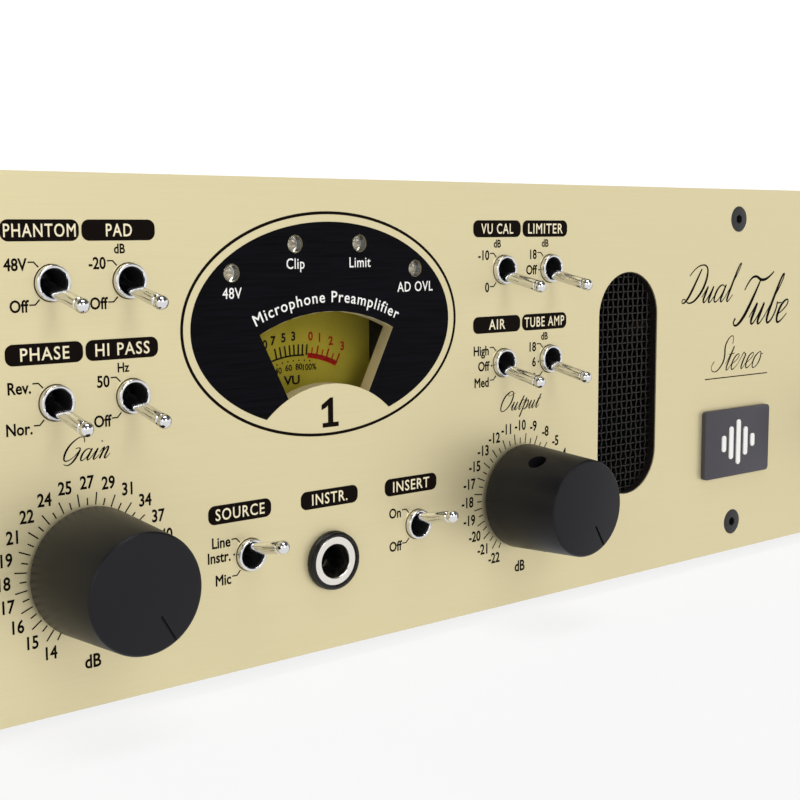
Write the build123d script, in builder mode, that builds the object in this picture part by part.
"""Two-channel valve microphone preamp in a two-unit, 19-inch rack case.

Frame: X to the right, the front faces -Y, Z up from the bottoms of the feet.
Front fittings are placed by (x, z) on the panel, z measured from the panel's lower edge,
and by depth, measured from the panel's front face into the case.
"""
import os
from math import cos, radians, sin, sqrt

from build123d import *

os.makedirs("parts", exist_ok=True)

# ---------------------------------------------------------------- driving dimensions
PANEL_W = 482.6          # 19-inch rack width
PANEL_H = 88.1           # two rack units, less the standard gap
PANEL_T = 3.0
CASE_W = 438.0
CASE_H = 84.0
CASE_DEPTH = 210.0       # panel front to rear panel's outer face
SHEET = 1.5
FOOT_H = 5.0
KNOB_PROUD = 19.5        # knob face in front of the panel
REAR_PROUD = 5.0         # noses of the rear jacks behind the rear panel
CHANNEL_X = 122.3        # channel centres, left and right of the panel's middle

CASE_Z = FOOT_H
CASE_TOP = CASE_Z + CASE_H
PANEL_Z = CASE_Z - (PANEL_H - CASE_H) / 2
FRONT_Y = -(CASE_DEPTH + REAR_PROUD - KNOB_PROUD) / 2
REAR_Y = FRONT_Y + CASE_DEPTH
CHANNELS = {1: -CHANNEL_X, 2: CHANNEL_X}

# toggle switches: offset from the channel's middle, and height on the panel
TOGGLES = {
    "phantom": (-54.2, 70.6),
    "phase": (-54.2, 51.5),
    "pad": (-40.6, 70.6),
    "hi_pass": (-40.6, 51.5),
    "source": (-18.1, 21.0),
    "insert": (21.1, 21.0),
    "vu_cal": (44.5, 70.6),
    "air": (44.5, 51.5),
    "limiter": (58.0, 70.6),
    "tube_amp": (58.0, 51.5),
}
RESTS_UP = ("source", "insert")
KNOBS = {"gain": (-49.4, 23.2), "output": (49.4, 23.2)}
LAMPS = ((-20.8, 71.4), (-7.3, 76.3), (7.3, 76.3), (20.8, 71.4))
JACK_Z = 17.1
LAMP_R = 1.5

TILT = 11.8              # toggle lever off the panel's normal, either way
LEVER_PIVOT = 4.77       # depth of the lever's pivot
LEVER_LENGTH = 15.5      # pivot to the middle of the ball tip
BUSHING_R = 2.9
BUSHING_BORE_R = 2.35
BUSHING_PROUD = 1.1
BUSHING_BACK = 7.2

KNOB_BASE_R = 11.0
KNOB_FACE_R = 9.8
KNOB_GAP = 0.8
POINTER_ANGLE = 150.0    # clockwise from the top, both knobs fully up
SHAFT_R = 3.0
SHAFT_RUNNING_R = 3.05

WINDOW_Z = 29.9          # centre of the meter window's two arcs
WINDOW_R_IN = 20.6
WINDOW_R_OUT = 34.0
WINDOW_HALF_ANGLE = 26.6
METER_PIVOT_Z = 34.1
METER_SWEEP = 60.0
METER_W = 38.0
METER_Z = (29.5, 69.0)
METER_DIAL_DEPTH = 10.4
METER_BACK = 32.0

GRILLE_X = 39.25
GRILLE_W = 19.5
GRILLE_Z = (19.1, 69.3)
GRILLE_DEPTH = 1.3       # front of the wire cloth, inside its slot
GRILLE_T = 1.0

RACK_X = 465.1
RACK_Z = 76.2
RACK_SLOT_L = 10.3
RACK_SLOT_W = 6.8
FRONT_SCREWS = ((0, 81.0), (0, 7.1), (-212, 81.0), (-212, 7.1), (212, 81.0), (212, 7.1))

BOARD_DEPTH = 16.0       # front face of the upright control boards
BOARD_T = 1.6
CONTROL_BOARD_W = 136.0
CONTROL_BOARD_Z = (12.0, 78.0)
MAIN_BOARD_Z = CASE_Z + SHEET + 8.0
MAIN_BOARD_X = (-205.0, 100.0)
MAIN_BOARD_DEPTH = (30.0, 184.0)
BOARD_SCREWS = [(x, d) for x in (-195.0, -102.0, -10.0, 90.0) for d in (36.0, 176.0)]
TUBE_DEPTH = 46.0
TOROID = (158.0, 118.0)  # x and depth of the mains transformer

SLEEVE_R = 4.8           # threaded nose of a 6.35 mm jack
JACK_R = 3.2
JACK_BORE_L = 28.0

INLET_X = -190.0         # places on the rear panel, in the row's x
INLET_Z = 44.0
XLR_X = (-128.0, -88.0, 72.0, 112.0)
XLR_Z = 44.0
REAR_JACK_X = (-40.0, -16.0, 8.0, 32.0)
REAR_JACK_Z = 44.0


def front_plane(x=0.0, z=0.0, depth=0.0):
    """Plane facing the player, its y axis up, at a point on or behind the panel's front."""
    return Plane(origin=(x, FRONT_Y + depth, PANEL_Z + z), x_dir=(1, 0, 0), z_dir=(0, -1, 0))


def rear_plane(x=0.0, z=0.0, proud=0.0):
    """Plane facing backwards, its y axis up, at a point on or behind the rear panel's face."""
    return Plane(origin=(x, REAR_Y + proud, PANEL_Z + z), x_dir=(-1, 0, 0), z_dir=(0, 1, 0))


def save(piece, label):
    """Name a finished piece and write it to its own file."""
    piece.label = label
    export_step(piece, f"parts/{label}.step")


def both_channels(places):
    """Repeat offsets from a channel's middle on both channels."""
    return [(cx + x, z) for cx in CHANNELS.values() for x, z in places]


TOGGLE_PLACES = both_channels(TOGGLES.values())
KNOB_PLACES = both_channels(KNOBS.values())
LAMP_PLACES = both_channels(LAMPS)
JACK_PLACES = both_channels([(0, JACK_Z)])

# ---------------------------------------------------------------- front panel
with BuildPart() as front_panel:
    with BuildSketch(front_plane()):
        with Locations((0, PANEL_H / 2)):
            RectangleRounded(PANEL_W, PANEL_H, 1.0)
        with Locations(*TOGGLE_PLACES):
            Circle(BUSHING_R + 0.15, mode=Mode.SUBTRACT)
        with Locations(*KNOB_PLACES):
            Circle(3.6, mode=Mode.SUBTRACT)
        with Locations(*LAMP_PLACES):
            Circle(LAMP_R + 0.1, mode=Mode.SUBTRACT)
        with Locations(*JACK_PLACES):
            Circle(SLEEVE_R + 0.1, mode=Mode.SUBTRACT)
        with Locations((-GRILLE_X, sum(GRILLE_Z) / 2), (GRILLE_X, sum(GRILLE_Z) / 2)):
            SlotOverall(GRILLE_Z[1] - GRILLE_Z[0], GRILLE_W, rotation=90, mode=Mode.SUBTRACT)
        with Locations((0, PANEL_H / 2)):
            with GridLocations(RACK_X, RACK_Z, 2, 2):
                SlotOverall(RACK_SLOT_L, RACK_SLOT_W, mode=Mode.SUBTRACT)
    extrude(amount=-PANEL_T)
    for channel_x in CHANNELS.values():
        with BuildSketch(front_plane(channel_x, WINDOW_Z)):
            with BuildLine():
                start = (90 - WINDOW_HALF_ANGLE, 2 * WINDOW_HALF_ANGLE)
                outer = CenterArc((0, 0), WINDOW_R_OUT, *start)
                inner = CenterArc((0, 0), WINDOW_R_IN, *start)
                Line(outer @ 0, inner @ 0)
                Line(outer @ 1, inner @ 1)
            make_face()
        extrude(amount=-PANEL_T, mode=Mode.SUBTRACT)
    with Locations(front_plane()):
        with Locations(*FRONT_SCREWS):
            CounterSinkHole(1.65, 3.1, depth=PANEL_T, counter_sink_angle=90)
save(front_panel.part, "front_panel")

with BuildPart() as front_screws:
    with BuildSketch(front_plane()):
        with Locations(*FRONT_SCREWS):
            Circle(3.0)
    extrude(amount=-1.5, taper=45)
    with BuildSketch(front_plane(depth=1.0)):
        with Locations(*FRONT_SCREWS):
            Circle(1.5)
    extrude(amount=-5.0)
    with BuildSketch(front_plane()):
        with Locations(*FRONT_SCREWS):
            RegularPolygon(1.15, 6, major_radius=True)
    extrude(amount=-1.2, mode=Mode.SUBTRACT)
save(front_screws.part, "front_screws")

# ---------------------------------------------------------------- grilles and badge
with BuildPart() as grille_meshes:
    with BuildSketch(front_plane(depth=GRILLE_DEPTH)):
        with Locations((-GRILLE_X, sum(GRILLE_Z) / 2), (GRILLE_X, sum(GRILLE_Z) / 2)):
            SlotOverall(GRILLE_Z[1] - GRILLE_Z[0] - 0.04, GRILLE_W - 0.04, rotation=90)
    extrude(amount=-GRILLE_T)
save(grille_meshes.part, "grille_meshes")

BADGE = (25.0, 16.5, 1.2)
BADGE_Z = 27.15
with BuildPart() as badge:
    with BuildSketch(front_plane(z=BADGE_Z)):
        RectangleRounded(BADGE[0], BADGE[1], 1.0)
    extrude(amount=BADGE[2])
    chamfer(badge.faces().sort_by(Axis.Y)[0].outer_wire().edges(), 0.25)
save(badge.part, "badge")

# ---------------------------------------------------------------- toggle switches
with BuildPart() as toggle_bushings:
    with BuildSketch(front_plane(depth=-BUSHING_PROUD)):
        with Locations(*TOGGLE_PLACES):
            Circle(BUSHING_R)
            Circle(BUSHING_BORE_R, mode=Mode.SUBTRACT)
    extrude(amount=-(BUSHING_PROUD + BUSHING_BACK))
    chamfer(toggle_bushings.faces().group_by(Axis.Y)[0].edges(), 0.25)
save(toggle_bushings.part, "toggle_bushings")

SWITCH_W = 6.9
SWITCH_H = 12.7
with BuildPart() as toggle_switch_bodies:
    with BuildSketch(front_plane(depth=BUSHING_BACK)):
        with Locations(*TOGGLE_PLACES):
            Rectangle(SWITCH_W, SWITCH_H)
    extrude(amount=-(BOARD_DEPTH - BUSHING_BACK))
    with BuildSketch(front_plane(depth=BUSHING_BACK)):
        with Locations(*TOGGLE_PLACES):
            Circle(BUSHING_BORE_R)
    extrude(amount=-3.2, mode=Mode.SUBTRACT)
save(toggle_switch_bodies.part, "toggle_switch_bodies")

LEVER_BASE_R = 1.0
LEVER_TIP_R = 1.15
LEVER_BALL_R = 1.22
LEVER_PIVOT_R = 2.1
LEVER_TAIL = 4.6
for number, channel_x in CHANNELS.items():
    for name, (dx, z) in TOGGLES.items():
        rise = sin(radians(TILT)) * (1 if name in RESTS_UP else -1)
        along = Vector(0, -cos(radians(TILT)), rise)
        pivot = front_plane(channel_x + dx, z, LEVER_PIVOT).origin
        side = Plane(origin=pivot, x_dir=(1, 0, 0), z_dir=Vector(1, 0, 0).cross(along))
        with BuildPart() as lever:
            with BuildSketch(side):
                with BuildLine():
                    neck = sqrt(LEVER_BALL_R**2 - LEVER_TIP_R**2)
                    Polyline(
                        (0, -LEVER_TAIL),
                        (0.8, -LEVER_TAIL),
                        (LEVER_BASE_R, 0),
                        (LEVER_TIP_R, LEVER_LENGTH - neck),
                    )
                    ThreePointArc(
                        (LEVER_TIP_R, LEVER_LENGTH - neck),
                        (LEVER_BALL_R, LEVER_LENGTH),
                        (0, LEVER_LENGTH + LEVER_BALL_R),
                    )
                    Line((0, LEVER_LENGTH + LEVER_BALL_R), (0, -LEVER_TAIL))
                make_face()
                with BuildLine():
                    ball = CenterArc((0, 0), LEVER_PIVOT_R, -90, 180)
                    Line(ball @ 0, ball @ 1)
                make_face()
            revolve(axis=Axis(pivot, along))
        save(lever.part, f"{name}_lever_{number}")

# ---------------------------------------------------------------- knobs and potentiometers
SHAFT_FRONT = 15.0       # shaft end in front of the panel
POT_BUSHING_FRONT = 5.0
POT_W = 16.5
NUT_AF = 10.0
NUT_T = 2.0
KNOB_BORE_R = 3.02
KNOB_SKIRT_R = 8.2
KNOB_SKIRT_DEPTH = 6.2
GRUB_HOLE_R = 1.9
GRUB_R = GRUB_HOLE_R - 0.02
GRUB_Y = 10.2            # grub screw's height above the panel
GRUB_SIDES = {"gain": 1, "output": -1}     # under the pointer, or opposite it
for number, channel_x in CHANNELS.items():
    for name, (dx, z) in KNOBS.items():
        x = channel_x + dx
        up = cos(radians(POINTER_ANGLE))
        right = sin(radians(POINTER_ANGLE))
        grub_side = GRUB_SIDES[name]
        grub_x = grub_side * right
        grub_z = grub_side * up
        with BuildPart() as knob:
            with BuildSketch(front_plane(x, z, -KNOB_GAP)):
                Circle(KNOB_BASE_R)
            with BuildSketch(front_plane(x, z, -KNOB_PROUD)):
                Circle(KNOB_FACE_R)
            loft()
            chamfer(knob.faces().sort_by(Axis.Y)[0].edges(), 0.5)
            with BuildSketch(front_plane(x, z, -KNOB_GAP)):
                Circle(KNOB_SKIRT_R)
            extrude(amount=KNOB_SKIRT_DEPTH, mode=Mode.SUBTRACT)
            with BuildSketch(front_plane(x, z, -KNOB_GAP)):
                Circle(KNOB_BORE_R)
            extrude(amount=SHAFT_FRONT, mode=Mode.SUBTRACT)
            with BuildSketch(front_plane(x, z, -KNOB_PROUD)):
                with Locations(Location((7.6 * right, 7.6 * up), 90 - POINTER_ANGLE)):
                    Rectangle(6.2, 0.8)
            extrude(amount=-0.4, mode=Mode.SUBTRACT)
            with BuildSketch(Plane(
                origin=front_plane(x, z, -GRUB_Y).origin,
                x_dir=(0, -1, 0),
                z_dir=(grub_x, 0, grub_z),
            )):
                Circle(GRUB_HOLE_R)
            extrude(amount=KNOB_BASE_R + 1, mode=Mode.SUBTRACT)
            grub_seat = SHAFT_R + 0.01
            with BuildSketch(Plane(
                origin=front_plane(x + grub_x * grub_seat, z + grub_z * grub_seat, -GRUB_Y).origin,
                x_dir=(0, -1, 0),
                z_dir=(grub_x, 0, grub_z),
            )):
                Circle(GRUB_R)
            extrude(amount=4.0)
        save(knob.part, f"{name}_knob_{number}")

        with BuildPart() as shaft:
            with BuildSketch(front_plane(x, z, -SHAFT_FRONT)):
                Circle(SHAFT_R)
            extrude(amount=-(SHAFT_FRONT + PANEL_T + 6.0))
            chamfer(shaft.faces().sort_by(Axis.Y)[0].edges(), 0.4)
        save(shaft.part, f"{name}_shaft_{number}")

with BuildPart() as potentiometers:
    with BuildSketch(front_plane(depth=PANEL_T)):
        with Locations(*KNOB_PLACES):
            Rectangle(POT_W, POT_W)
    extrude(amount=-(BOARD_DEPTH - PANEL_T))
    with BuildSketch(front_plane(depth=-POT_BUSHING_FRONT)):
        with Locations(*KNOB_PLACES):
            Circle(3.5)
    extrude(amount=-(POT_BUSHING_FRONT + PANEL_T))
    with BuildSketch(front_plane(depth=-POT_BUSHING_FRONT)):
        with Locations(*KNOB_PLACES):
            Circle(SHAFT_RUNNING_R)
    extrude(amount=-(POT_BUSHING_FRONT + PANEL_T + 6.5), mode=Mode.SUBTRACT)
save(potentiometers.part, "potentiometers")

with BuildPart() as bushing_nuts:
    with BuildSketch(front_plane()):
        with Locations(*KNOB_PLACES):
            RegularPolygon(NUT_AF / 2, 6, major_radius=False)
            Circle(3.55, mode=Mode.SUBTRACT)
    extrude(amount=NUT_T)
save(bushing_nuts.part, "bushing_nuts")

# ---------------------------------------------------------------- lamps
LAMP_TIP = 0.5
LAMP_BACK = 4.6
with BuildPart() as indicator_leds:
    with BuildSketch(front_plane(depth=-LAMP_TIP)):
        with Locations(*LAMP_PLACES):
            Circle(LAMP_R)
    extrude(amount=-(LAMP_TIP + LAMP_BACK))
    fillet(indicator_leds.faces().group_by(Axis.Y)[0].edges(), 0.9)
    with BuildSketch(front_plane(depth=LAMP_BACK - 0.2)):
        for x, z in LAMP_PLACES:
            with Locations((x - 0.7, z), (x + 0.7, z)):
                Rectangle(0.5, 0.5)
    extrude(amount=-(BOARD_DEPTH - LAMP_BACK + 0.2))
save(indicator_leds.part, "indicator_leds")

# ---------------------------------------------------------------- instrument jacks
JACK_BODY_W = 15.0
JACK_BODY_H = 13.4
JACK_BACK = 29.0
with BuildPart() as instrument_jacks:
    with BuildSketch(front_plane(depth=PANEL_T)):
        with Locations(*JACK_PLACES):
            Rectangle(JACK_BODY_W, JACK_BODY_H)
    extrude(amount=-(JACK_BACK - PANEL_T))
    with BuildSketch(front_plane(depth=-1.4)):
        with Locations(*JACK_PLACES):
            Circle(SLEEVE_R)
    extrude(amount=-(1.4 + PANEL_T))
    with BuildSketch(front_plane(depth=-1.4)):
        with Locations(*JACK_PLACES):
            Circle(JACK_R)
    extrude(amount=-JACK_BORE_L, mode=Mode.SUBTRACT)
save(instrument_jacks.part, "instrument_jacks")

with BuildPart() as jack_bezels:
    with BuildSketch(front_plane()):
        with Locations(*JACK_PLACES):
            Circle(5.6)
            Circle(SLEEVE_R + 0.02, mode=Mode.SUBTRACT)
    extrude(amount=1.7)
    chamfer(jack_bezels.faces().group_by(Axis.Y)[0].edges().group_by(SortBy.RADIUS)[-1], 0.4)
save(jack_bezels.part, "jack_bezels")

# ---------------------------------------------------------------- level meters
METER_WALL = 1.5
METER_MID_Z = sum(METER_Z) / 2
METER_H = METER_Z[1] - METER_Z[0]
WINDOW_T = 1.2
DIAL_T = 0.8
PIN_R = 0.6
HUB_R = 2.4
HUB_T = 1.6
NEEDLE_R = 20.5
METER_PLACES = both_channels([(0, METER_MID_Z)])
PIVOT_PLACES = both_channels([(0, METER_PIVOT_Z)])

with BuildPart() as vu_meter_cases:
    with BuildSketch(front_plane(depth=PANEL_T)):
        with Locations(*METER_PLACES):
            Rectangle(METER_W, METER_H)
    extrude(amount=-(METER_BACK - PANEL_T))
    with BuildSketch(front_plane(depth=PANEL_T)):
        with Locations(*METER_PLACES):
            Rectangle(METER_W - 2 * METER_WALL, METER_H - 2 * METER_WALL)
    extrude(amount=-(METER_BACK - PANEL_T - METER_WALL), mode=Mode.SUBTRACT)
save(vu_meter_cases.part, "vu_meter_cases")

with BuildPart() as vu_meter_windows:
    with BuildSketch(front_plane(depth=PANEL_T)):
        with Locations(*METER_PLACES):
            Rectangle(METER_W - 2 * METER_WALL, METER_H - 2 * METER_WALL)
    extrude(amount=-WINDOW_T)
save(vu_meter_windows.part, "vu_meter_windows")

with BuildPart() as vu_scale_plates:
    with BuildSketch(front_plane(depth=METER_DIAL_DEPTH)):
        with Locations(*METER_PLACES):
            Rectangle(METER_W - 2 * METER_WALL, METER_H - 2 * METER_WALL)
        with Locations(*PIVOT_PLACES):
            Circle(1.2, mode=Mode.SUBTRACT)
    extrude(amount=-DIAL_T)
save(vu_scale_plates.part, "vu_scale_plates")

MAGNET = (16.0, 8.0)
with BuildPart() as vu_movements:
    with BuildSketch(front_plane(depth=METER_DIAL_DEPTH + DIAL_T)):
        with Locations(*METER_PLACES):
            Rectangle(26, METER_H - 2 * METER_WALL)
    extrude(amount=-2.0)
    with BuildSketch(front_plane(depth=METER_DIAL_DEPTH + DIAL_T + 2.0)):
        with Locations(*METER_PLACES):
            Circle(MAGNET[0])
            Circle(MAGNET[1], mode=Mode.SUBTRACT)
            Rectangle(2 * MAGNET[1] + 1, 5)
    extrude(amount=-10.0)
    with BuildSketch(front_plane(depth=METER_DIAL_DEPTH - 1.7)):
        with Locations(*PIVOT_PLACES):
            Circle(PIN_R)
    extrude(amount=-(DIAL_T + 2.0))
save(vu_movements.part, "vu_movements")

for number, channel_x in CHANNELS.items():
    lean = radians(METER_SWEEP / 2)
    with BuildPart() as needle:
        with BuildSketch(front_plane(channel_x, METER_PIVOT_Z, METER_DIAL_DEPTH - 0.4 - HUB_T)):
            Circle(HUB_R)
        extrude(amount=-HUB_T)
        with BuildSketch(front_plane(channel_x, METER_PIVOT_Z, METER_DIAL_DEPTH - 0.4 - HUB_T)):
            middle = (-NEEDLE_R / 2 * sin(lean), NEEDLE_R / 2 * cos(lean))
            with Locations(Location(middle, 90 + METER_SWEEP / 2)):
                Rectangle(NEEDLE_R, 0.35)
        extrude(amount=-0.4)
        with BuildSketch(front_plane(channel_x, METER_PIVOT_Z, METER_DIAL_DEPTH - 0.4)):
            Circle(PIN_R + 0.05)
        extrude(amount=HUB_T - 0.2, mode=Mode.SUBTRACT)
    save(needle.part, f"vu_needle_{number}")

# ---------------------------------------------------------------- chassis
TRAY_FLANGE = 8.0
INNER_X = CASE_W / 2 - SHEET
STANDOFF_R = 3.0
FEET = [(x, y) for x in (-190.0, 190.0) for y in (FRONT_Y + 28.0, REAR_Y - 28.0)]
SIDE_SCREW_DEPTHS = (30.0, 105.0, 180.0)
SIDE_SCREW_Z = CASE_TOP - SHEET - 6.0
COVER_LIP = 12.0
COVER_CLEAR = 0.1
REAR_LIP = 12.0
REAR_LIP_SCREWS = [(x, CASE_DEPTH - SHEET - REAR_LIP / 2) for x in (-150.0, 0.0, 150.0)]


def floor_plane(z):
    """Level plane with its x and depth measured as on the boards."""
    return Plane(origin=(0, FRONT_Y, z), x_dir=(1, 0, 0), z_dir=(0, 0, 1))


case_mid = (PANEL_T + CASE_DEPTH) / 2
with BuildPart() as chassis_tray:
    with BuildSketch(floor_plane(CASE_Z)):
        with Locations((0, case_mid)):
            Rectangle(CASE_W, CASE_DEPTH - PANEL_T)
    extrude(amount=SHEET)
    with BuildSketch(floor_plane(CASE_Z + SHEET)):
        for side in (-1, 1):
            with Locations((side * (CASE_W - SHEET) / 2, case_mid)):
                Rectangle(SHEET, CASE_DEPTH - PANEL_T)
            with Locations((side * (INNER_X - 6.0), PANEL_T + SHEET / 2)):
                Rectangle(12.0, SHEET)
    extrude(amount=CASE_H - 2 * SHEET)
    with BuildSketch(floor_plane(CASE_Z + SHEET)):
        with Locations((0, PANEL_T + SHEET / 2)):
            Rectangle(2 * INNER_X - 24.0, SHEET)
    extrude(amount=TRAY_FLANGE - SHEET)
    with BuildSketch(floor_plane(CASE_Z + SHEET)):
        with Locations(*BOARD_SCREWS):
            Circle(STANDOFF_R)
    extrude(amount=MAIN_BOARD_Z - CASE_Z - SHEET)
    with BuildSketch(floor_plane(MAIN_BOARD_Z)):
        with Locations(*BOARD_SCREWS):
            Circle(1.5)
    extrude(amount=-6.0, mode=Mode.SUBTRACT)
    with BuildSketch(front_plane(depth=PANEL_T)):
        with Locations(*[place for place in FRONT_SCREWS if place[0] or place[1] < PANEL_H / 2]):
            Circle(1.5)
    extrude(amount=-SHEET, mode=Mode.SUBTRACT)
    with BuildSketch(floor_plane(CASE_Z)):
        with Locations(*[(x, y - FRONT_Y) for x, y in FEET], TOROID, *REAR_LIP_SCREWS):
            Circle(1.6)
    extrude(amount=SHEET, mode=Mode.SUBTRACT)
    for side in (-1, 1):
        with BuildSketch(Plane(
            origin=(side * INNER_X, FRONT_Y, SIDE_SCREW_Z), x_dir=(0, 1, 0), z_dir=(side, 0, 0),
        )):
            with Locations(*[(depth, 0) for depth in SIDE_SCREW_DEPTHS]):
                Circle(1.6)
        extrude(amount=SHEET, mode=Mode.SUBTRACT)
save(chassis_tray.part, "chassis_tray")

lip_x = INNER_X - COVER_CLEAR
with BuildPart() as top_cover:
    with BuildSketch(floor_plane(CASE_TOP - SHEET)):
        with Locations((0, case_mid)):
            Rectangle(CASE_W, CASE_DEPTH - PANEL_T)
        with Locations((-110, 150), (110, 150)):
            with GridLocations(8.0, 36.0, 16, 2):
                SlotOverall(28.0, 3.2, rotation=90, mode=Mode.SUBTRACT)
    extrude(amount=SHEET)
    with BuildSketch(floor_plane(CASE_TOP - SHEET)):
        for side in (-1, 1):
            with Locations((side * (lip_x - SHEET / 2), case_mid)):
                Rectangle(SHEET, CASE_DEPTH - PANEL_T - 16.0)
        with Locations((0, PANEL_T + SHEET / 2)):
            Rectangle(2 * INNER_X - 26.0, SHEET)
    extrude(amount=-(TRAY_FLANGE - SHEET))
    with BuildSketch(floor_plane(CASE_TOP - SHEET)):
        for side in (-1, 1):
            with Locations((side * (lip_x - SHEET / 2), case_mid)):
                Rectangle(SHEET, CASE_DEPTH - PANEL_T - 16.0)
    extrude(amount=-COVER_LIP)
    with BuildSketch(front_plane(0, FRONT_SCREWS[0][1], PANEL_T)):
        Circle(1.5)
    extrude(amount=-SHEET, mode=Mode.SUBTRACT)
    for side in (-1, 1):
        with BuildSketch(Plane(
            origin=(side * (lip_x - SHEET), FRONT_Y, SIDE_SCREW_Z), x_dir=(0, 1, 0), z_dir=(side, 0, 0),
        )):
            with Locations(*[(depth, 0) for depth in SIDE_SCREW_DEPTHS]):
                Circle(1.5)
        extrude(amount=SHEET, mode=Mode.SUBTRACT)
save(top_cover.part, "top_cover")

with BuildPart() as rubber_feet:
    for x, y in FEET:
        with BuildSketch(Plane.XY):
            with Locations((x, y)):
                Circle(8.0)
        with BuildSketch(Plane.XY.offset(FOOT_H)):
            with Locations((x, y)):
                Circle(9.0)
        loft()
    with BuildSketch(Plane.XY):
        with Locations(*FEET):
            Circle(3.6)
    extrude(amount=3.0, mode=Mode.SUBTRACT)
    with BuildSketch(Plane.XY):
        with Locations(*FEET):
            Circle(1.6)
    extrude(amount=FOOT_H, mode=Mode.SUBTRACT)
save(rubber_feet.part, "rubber_feet")

# ---------------------------------------------------------------- rear panel and its sockets
REAR_W = 2 * INNER_X - 0.4
REAR_H = CASE_H - 2 * SHEET
REAR_MID_Z = PANEL_H / 2
XLR_FLANGE = (26.0, 31.0)
XLR_SCREWS = ((-9.5, 12.0), (9.5, -12.0))
XLR_PLACES = [(-x, XLR_Z) for x in XLR_X]
XLR_SCREW_PLACES = [(x + dx, z + dz) for x, z in XLR_PLACES for dx, dz in XLR_SCREWS]
REAR_JACK_PLACES = [(-x, REAR_JACK_Z) for x in REAR_JACK_X]
INLET_PLACE = (-INLET_X, INLET_Z)
INLET_BODY = (27.6, 58.0)

with BuildPart() as rear_panel:
    with BuildSketch(rear_plane(0, REAR_MID_Z)):
        Rectangle(REAR_W, REAR_H)
    extrude(amount=-SHEET)
    with BuildSketch(rear_plane()):
        with Locations(*XLR_PLACES):
            Circle(12.0)
        with Locations(*XLR_SCREW_PLACES):
            Circle(1.6)
        with Locations(*REAR_JACK_PLACES):
            Circle(SLEEVE_R + 0.1)
        with Locations(INLET_PLACE):
            Rectangle(*INLET_BODY)
    extrude(amount=-SHEET, mode=Mode.SUBTRACT)
    with BuildSketch(floor_plane(CASE_Z + SHEET)):
        with Locations((0, CASE_DEPTH - SHEET - REAR_LIP / 2)):
            Rectangle(REAR_W - 20.0, REAR_LIP)
    extrude(amount=SHEET)
    with BuildSketch(floor_plane(CASE_Z + SHEET)):
        with Locations(*REAR_LIP_SCREWS):
            Circle(1.5)
    extrude(amount=SHEET, mode=Mode.SUBTRACT)
save(rear_panel.part, "rear_panel")

CONTACT_R = 4.75
XLR_CUP = 15.0           # depth of a microphone socket's ring
XLR_CONTACTS = [(CONTACT_R * cos(radians(a)), CONTACT_R * sin(radians(a))) for a in (30, 150, 270)]
with BuildPart() as xlr_connectors:
    with BuildSketch(rear_plane()):
        with Locations(*XLR_PLACES):
            RectangleRounded(*XLR_FLANGE, 2.5)
    extrude(amount=2.2)
    with BuildSketch(rear_plane(proud=-24.0)):
        with Locations(*XLR_PLACES):
            Circle(11.8)
    extrude(amount=24.0)
    with BuildSketch(rear_plane(proud=2.2)):
        with Locations(*XLR_SCREW_PLACES):
            Circle(1.6)
    extrude(amount=-2.2, mode=Mode.SUBTRACT)
    # outputs: an open cup with three pins
    with BuildSketch(rear_plane(proud=2.2)):
        with Locations(*XLR_PLACES[:2]):
            Circle(9.3)
    extrude(amount=-17.0, mode=Mode.SUBTRACT)
    with BuildSketch(rear_plane(proud=-14.9)):
        for x, z in XLR_PLACES[:2]:
            with Locations(*[(x + cx, z + cz) for cx, cz in XLR_CONTACTS]):
                Circle(1.15)
    extrude(amount=15.0)
    # inputs: a cup round a separate insert
    with BuildSketch(rear_plane(proud=2.2)):
        with Locations(*XLR_PLACES[2:]):
            Circle(9.6)
    extrude(amount=-XLR_CUP, mode=Mode.SUBTRACT)
    with BuildSketch(rear_plane(proud=2.22 - XLR_CUP)):
        with Locations(*XLR_PLACES[2:]):
            Circle(7.6)
    extrude(amount=XLR_CUP - 0.3)
save(xlr_connectors.part, "xlr_connectors")

with BuildPart() as rear_jacks:
    with BuildSketch(rear_plane(proud=-SHEET)):
        with Locations(*REAR_JACK_PLACES):
            Rectangle(JACK_BODY_W, JACK_BODY_W)
    extrude(amount=-26.0)
    with BuildSketch(rear_plane(proud=-SHEET)):
        with Locations(*REAR_JACK_PLACES):
            Circle(SLEEVE_R)
    extrude(amount=SHEET + REAR_PROUD)
    with BuildSketch(rear_plane(proud=REAR_PROUD)):
        with Locations(*REAR_JACK_PLACES):
            Circle(JACK_R)
    extrude(amount=-JACK_BORE_L, mode=Mode.SUBTRACT)
    with BuildSketch(rear_plane()):
        with Locations(*REAR_JACK_PLACES):
            RegularPolygon(6.5, 6, major_radius=False)
            Circle(SLEEVE_R + 0.02, mode=Mode.SUBTRACT)
    extrude(amount=2.6)
save(rear_jacks.part, "rear_jacks")

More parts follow.
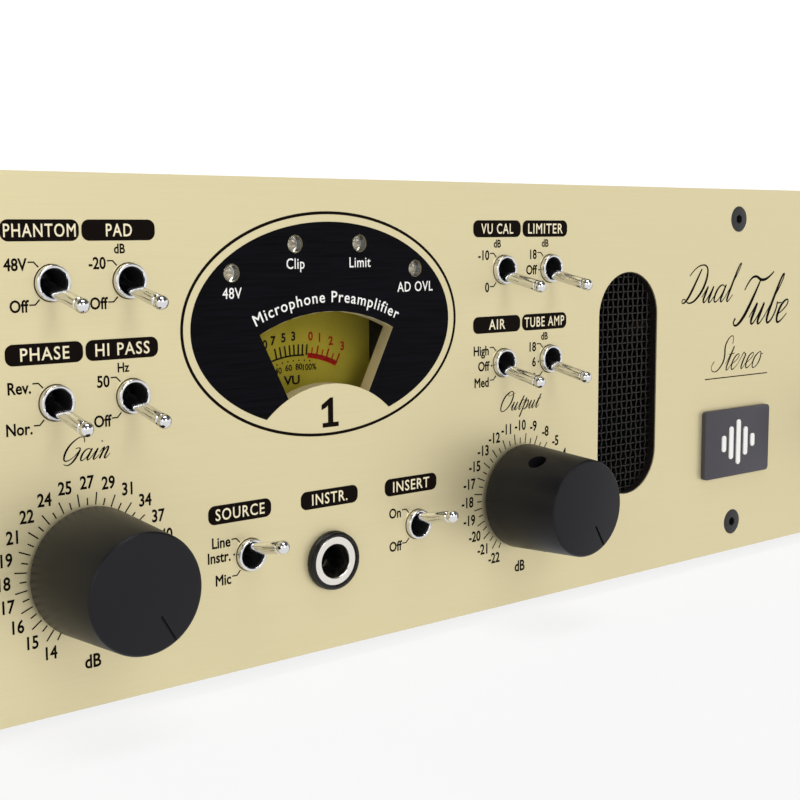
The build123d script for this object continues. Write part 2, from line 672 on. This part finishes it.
ROCKER = (12.6, 18.6)
ROCKER_Z = INLET_Z + 17.0
SOCKET_Z = INLET_Z - 13.5
SOCKET = (24.4, 16.8)
BLADES = ((-7.0, -2.0), (7.0, -2.0), (0.0, 2.0))
rocker_pivot = rear_plane(INLET_X, ROCKER_Z, -3.0).origin
with BuildPart() as mains_inlet:
    with BuildSketch(rear_plane()):
        with Locations(INLET_PLACE):
            RectangleRounded(INLET_BODY[0] + 4.0, INLET_BODY[1] + 4.0, 2.5)
    extrude(amount=2.4)
    with BuildSketch(rear_plane(proud=-26.0)):
        with Locations(INLET_PLACE):
            Rectangle(INLET_BODY[0] - 0.4, INLET_BODY[1] - 0.4)
    extrude(amount=26.0)
    with BuildSketch(rear_plane(INLET_X, SOCKET_Z, 2.4)):
        Rectangle(*SOCKET)
    extrude(amount=-18.0, mode=Mode.SUBTRACT)
    with BuildSketch(rear_plane(INLET_X, SOCKET_Z, -15.8)):
        with Locations(*BLADES):
            Rectangle(2.0, 4.0)
    extrude(amount=15.0)
    with BuildSketch(rear_plane(INLET_X, ROCKER_Z, 2.4)):
        Rectangle(ROCKER[0] + 0.8, ROCKER[1] + 0.8)
    extrude(amount=-12.0, mode=Mode.SUBTRACT)
    with BuildSketch(Plane(origin=rocker_pivot, x_dir=(0, 1, 0), z_dir=(1, 0, 0))):
        Circle(1.2)
    extrude(amount=(ROCKER[0] + 2.0) / 2, both=True)
save(mains_inlet.part, "mains_inlet")

ROCKER_ANGLE = 9.0       # resting tilt, the same the other way when switched over
tilt = radians(ROCKER_ANGLE)
rocker_out = Vector(0, cos(tilt), sin(tilt))
rocker_plane = Plane(origin=rocker_pivot, x_dir=rocker_out, z_dir=(1, 0, 0))
with BuildPart() as power_rocker:
    with BuildSketch(rocker_plane):
        with BuildLine():
            half = ROCKER[1] / 2 - 0.9
            Polyline(
                (-5.0, -3.0), (5.6, -half), (6.6, -half), (4.9, 0),
                (6.6, half), (5.6, half), (-5.0, 3.0), (-5.0, -3.0),
            )
        make_face()
        Circle(1.26, mode=Mode.SUBTRACT)
    extrude(amount=ROCKER[0] / 2, both=True)
save(power_rocker.part, "power_rocker")

# ---------------------------------------------------------------- boards, valves and power supply
board_mid_z = sum(CONTROL_BOARD_Z) / 2
with BuildPart() as control_boards:
    with BuildSketch(front_plane(depth=BOARD_DEPTH)):
        with Locations(*both_channels([(0, board_mid_z)])):
            RectangleRounded(CONTROL_BOARD_W, CONTROL_BOARD_Z[1] - CONTROL_BOARD_Z[0], 1.0)
        with Locations(*METER_PLACES):
            Rectangle(METER_W + 1.0, METER_H + 1.0, mode=Mode.SUBTRACT)
        with Locations(*JACK_PLACES):
            Rectangle(JACK_BODY_W + 1.0, JACK_BODY_H + 1.0, mode=Mode.SUBTRACT)
    extrude(amount=-BOARD_T)
save(control_boards.part, "control_boards")

main_board_w = MAIN_BOARD_X[1] - MAIN_BOARD_X[0]
main_board_d = MAIN_BOARD_DEPTH[1] - MAIN_BOARD_DEPTH[0]
with BuildPart() as main_board:
    with BuildSketch(floor_plane(MAIN_BOARD_Z)):
        with Locations((sum(MAIN_BOARD_X) / 2, sum(MAIN_BOARD_DEPTH) / 2)):
            RectangleRounded(main_board_w, main_board_d, 2.0)
        with Locations(*BOARD_SCREWS):
            Circle(1.6, mode=Mode.SUBTRACT)
    extrude(amount=BOARD_T)
save(main_board.part, "main_board")

BOARD_TOP = MAIN_BOARD_Z + BOARD_T
TUBES = ((-GRILLE_X, TUBE_DEPTH), (GRILLE_X, TUBE_DEPTH))
SOCKET_H = 8.0
with BuildPart() as tube_sockets:
    with BuildSketch(floor_plane(BOARD_TOP)):
        with Locations(*TUBES):
            Circle(11.0)
    extrude(amount=SOCKET_H)
    with BuildSketch(floor_plane(BOARD_TOP + SOCKET_H)):
        with Locations(*TUBES):
            with PolarLocations(5.9, 9, 0, 324):
                Circle(0.7)
    extrude(amount=-5.0, mode=Mode.SUBTRACT)
save(tube_sockets.part, "tube_sockets")

GLASS_R = 10.3
GLASS_H = 46.0
with BuildPart() as vacuum_tubes:
    with BuildSketch(floor_plane(BOARD_TOP + SOCKET_H)):
        with Locations(*TUBES):
            Circle(GLASS_R)
    extrude(amount=GLASS_H)
    fillet(vacuum_tubes.faces().group_by(Axis.Z)[-1].edges(), 6.0)
    with BuildSketch(floor_plane(BOARD_TOP + SOCKET_H + GLASS_H - 1.0)):
        with Locations(*TUBES):
            Circle(2.2)
    extrude(amount=5.0, taper=15)
    with BuildSketch(floor_plane(BOARD_TOP + SOCKET_H)):
        with Locations(*TUBES):
            with PolarLocations(5.9, 9, 0, 324):
                Circle(0.5)
    extrude(amount=-4.5)
save(vacuum_tubes.part, "vacuum_tubes")

CAPACITORS = [(x, d) for x in (-60.0, -30.0, 0.0, 30.0, 60.0) for d in (110.0, 140.0)]
with BuildPart() as filter_capacitors:
    with BuildSketch(floor_plane(BOARD_TOP)):
        with Locations(*CAPACITORS):
            Circle(11.0)
    extrude(amount=40.0)
    fillet(filter_capacitors.faces().group_by(Axis.Z)[-1].edges(), 1.2)
save(filter_capacitors.part, "filter_capacitors")

TOROID_R = 44.0
TOROID_H = 40.0
toroid_floor = CASE_Z + SHEET
with BuildPart() as toroidal_transformer:
    with BuildSketch(floor_plane(toroid_floor)):
        with Locations(TOROID):
            Circle(TOROID_R)
    extrude(amount=TOROID_H)
    fillet(toroidal_transformer.edges().filter_by(GeomType.CIRCLE), 9.0)
    with BuildSketch(floor_plane(toroid_floor)):
        with Locations(TOROID):
            Circle(2.6)
    extrude(amount=TOROID_H, mode=Mode.SUBTRACT)
save(toroidal_transformer.part, "toroidal_transformer")

# ---------------------------------------------------------------- case screws
HEAD_R = 2.8
HEAD_H = 1.8


def screws_on(plane, places, length, head_r=HEAD_R, shank_r=1.5):
    """Pan-head screws whose heads sit on a plane and whose shanks go through it."""
    with BuildPart() as group:
        with BuildSketch(plane):
            with Locations(*places):
                Circle(head_r)
        extrude(amount=HEAD_H)
        rims = group.edges().filter_by(lambda edge: plane.to_local_coords(edge.center()).Z > HEAD_H - 0.01)
        fillet(rims, 0.5)
        with BuildSketch(plane):
            with Locations(*places):
                Circle(shank_r)
        extrude(amount=-length)
        with BuildSketch(plane.offset(HEAD_H)):
            with Locations(*places):
                Rectangle(2.6, 0.6)
                Rectangle(0.6, 2.6)
        extrude(amount=-1.0, mode=Mode.SUBTRACT)
    return group.part


screw_groups = [screws_on(floor_plane(BOARD_TOP), BOARD_SCREWS, 6.0)]
for side in (-1, 1):
    wall = Plane(origin=(side * CASE_W / 2, FRONT_Y, SIDE_SCREW_Z), x_dir=(0, 1, 0), z_dir=(side, 0, 0))
    screw_groups.append(screws_on(wall, [(depth, 0) for depth in SIDE_SCREW_DEPTHS], 5.0))
underside = Plane(origin=(0, FRONT_Y, CASE_Z), x_dir=(1, 0, 0), z_dir=(0, 0, -1))
screw_groups.append(screws_on(underside, [(x, -d) for x, d in REAR_LIP_SCREWS], 5.0))
feet_plane = Plane(origin=(0, FRONT_Y, 3.0), x_dir=(1, 0, 0), z_dir=(0, 0, -1))
screw_groups.append(screws_on(feet_plane, [(x, FRONT_Y - y) for x, y in FEET], 6.0))
screw_groups.append(screws_on(rear_plane(proud=2.2), XLR_SCREW_PLACES, 6.0))
toroid_top = Plane(origin=(0, FRONT_Y, toroid_floor + TOROID_H), x_dir=(1, 0, 0), z_dir=(0, 0, 1))
screw_groups.append(screws_on(toroid_top, [TOROID], TOROID_H + SHEET, head_r=5.0))
case_screws = Compound(children=[solid for group in screw_groups for solid in group.solids()])
save(case_screws, "case_screws")
